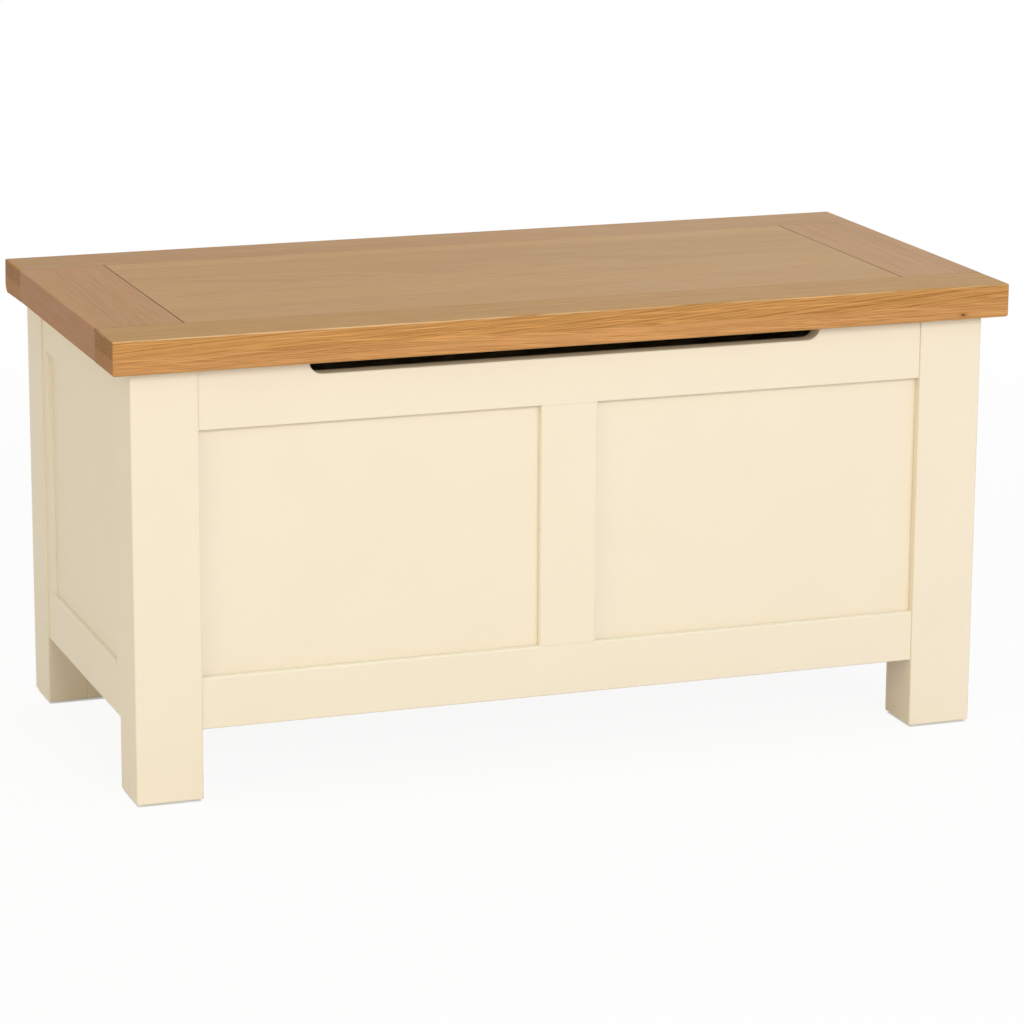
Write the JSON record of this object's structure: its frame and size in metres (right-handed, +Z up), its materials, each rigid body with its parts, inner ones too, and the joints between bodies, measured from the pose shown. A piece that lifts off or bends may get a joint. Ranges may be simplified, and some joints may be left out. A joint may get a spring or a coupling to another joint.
{
  "type": "blanket chest",
  "caption": "Blanket chest with a painted frame-and-panel body on square legs, a finger slot in the front rail and a hinged oak frame-and-panel lid on folding stays.",
  "frame": {"origin": "on the floor, under the middle of the lid", "axes": "+X along the front to the right as the front is seen, front face towards -Y, +Z up"},
  "size_m": [0.9, 0.435, 0.45],
  "materials": {
    "paint": "cream satin paint on wood",
    "oak": "stained and lacquered oak, satin",
    "plain_wood": "bare pale plywood and softwood",
    "brass": "satin brass",
    "steel": "zinc-plated steel",
    "plastic": "dark moulded glide",
    "felt": "thin felt pad"
  },
  "bodies": {
    "chest": {"back_bottom_rail": "paint", "back_left_panel": "paint", "back_muntin": "paint", "back_right_panel": "paint", "back_top_rail": "paint", "floor_back_batten": "plain_wood", "floor_front_batten": "plain_wood", "floor_left_batten": "plain_wood", "floor_panel": "plain_wood", "floor_right_batten": "plain_wood", "front_bottom_rail": "paint", "front_left_glide": "plastic", "front_left_leg": "paint", "front_left_panel": "paint", "front_muntin": "paint", "front_right_glide": "plastic", "front_right_leg": "paint", "front_right_panel": "paint", "front_top_rail": "paint", "left_bottom_rail": "paint", "left_front_stile": "paint", "left_hinge_body_leaf": "brass", "left_hinge_pin": "brass", "left_lid_bumper": "felt", "left_panel": "paint", "left_rear_stile": "paint", "left_stay_foot_plate": "steel", "left_stay_foot_rivet": "steel", "left_top_rail": "paint", "rear_left_glide": "plastic", "rear_left_leg": "paint", "rear_right_glide": "plastic", "rear_right_leg": "paint", "right_bottom_rail": "paint", "right_front_stile": "paint", "right_hinge_body_leaf": "brass", "right_hinge_pin": "brass", "right_lid_bumper": "felt", "right_panel": "paint", "right_rear_stile": "paint", "right_stay_foot_plate": "steel", "right_stay_foot_rivet": "steel", "right_top_rail": "paint"},
    "lid": {"left_hinge_lid_leaf": "brass", "left_stay_lid_bracket": "steel", "left_stay_lid_rivet": "steel", "lid_back_rail": "oak", "lid_front_rail": "oak", "lid_left_rail": "oak", "lid_panel": "oak", "lid_right_rail": "oak", "right_hinge_lid_leaf": "brass", "right_stay_lid_bracket": "steel", "right_stay_lid_rivet": "steel"},
    "left_lower_arm": {"left_stay_elbow_rivet": "steel", "left_stay_lower_arm": "steel"},
    "left_upper_arm": {"left_stay_upper_arm": "steel"},
    "right_lower_arm": {"right_stay_elbow_rivet": "steel", "right_stay_lower_arm": "steel"},
    "right_upper_arm": {"right_stay_upper_arm": "steel"}
  },
  "joints": [
    {"name": "lid_hinge", "type": "hinge", "parent": "chest", "child": "lid", "pos_m": [0, 0.2147, 0.4165], "axis": [-1, 0, 0], "range_deg": [0, 95]},
    {"name": "left_stay_foot", "type": "hinge", "parent": "chest", "child": "left_lower_arm", "pos_m": [-0.361, 0.1797, 0.3265], "axis": [-1, 0, 0], "range_deg": [0, 95]},
    {"name": "left_stay_bracket", "type": "hinge", "parent": "lid", "child": "left_upper_arm", "pos_m": [-0.361, 0.0547, 0.4015], "axis": [1, 0, 0], "range_deg": [0, 95]},
    {"name": "right_stay_foot", "type": "hinge", "parent": "chest", "child": "right_lower_arm", "pos_m": [0.361, 0.1797, 0.3265], "axis": [-1, 0, 0], "range_deg": [0, 95]},
    {"name": "right_stay_bracket", "type": "hinge", "parent": "lid", "child": "right_upper_arm", "pos_m": [0.361, 0.0547, 0.4015], "axis": [1, 0, 0], "range_deg": [0, 95]}
  ],
  "couplings": [
    {"joint": "left_stay_foot", "follows": "lid_hinge", "ratio": 1},
    {"joint": "left_stay_bracket", "follows": "lid_hinge", "ratio": 1},
    {"joint": "right_stay_foot", "follows": "lid_hinge", "ratio": 1},
    {"joint": "right_stay_bracket", "follows": "lid_hinge", "ratio": 1}
  ]
}
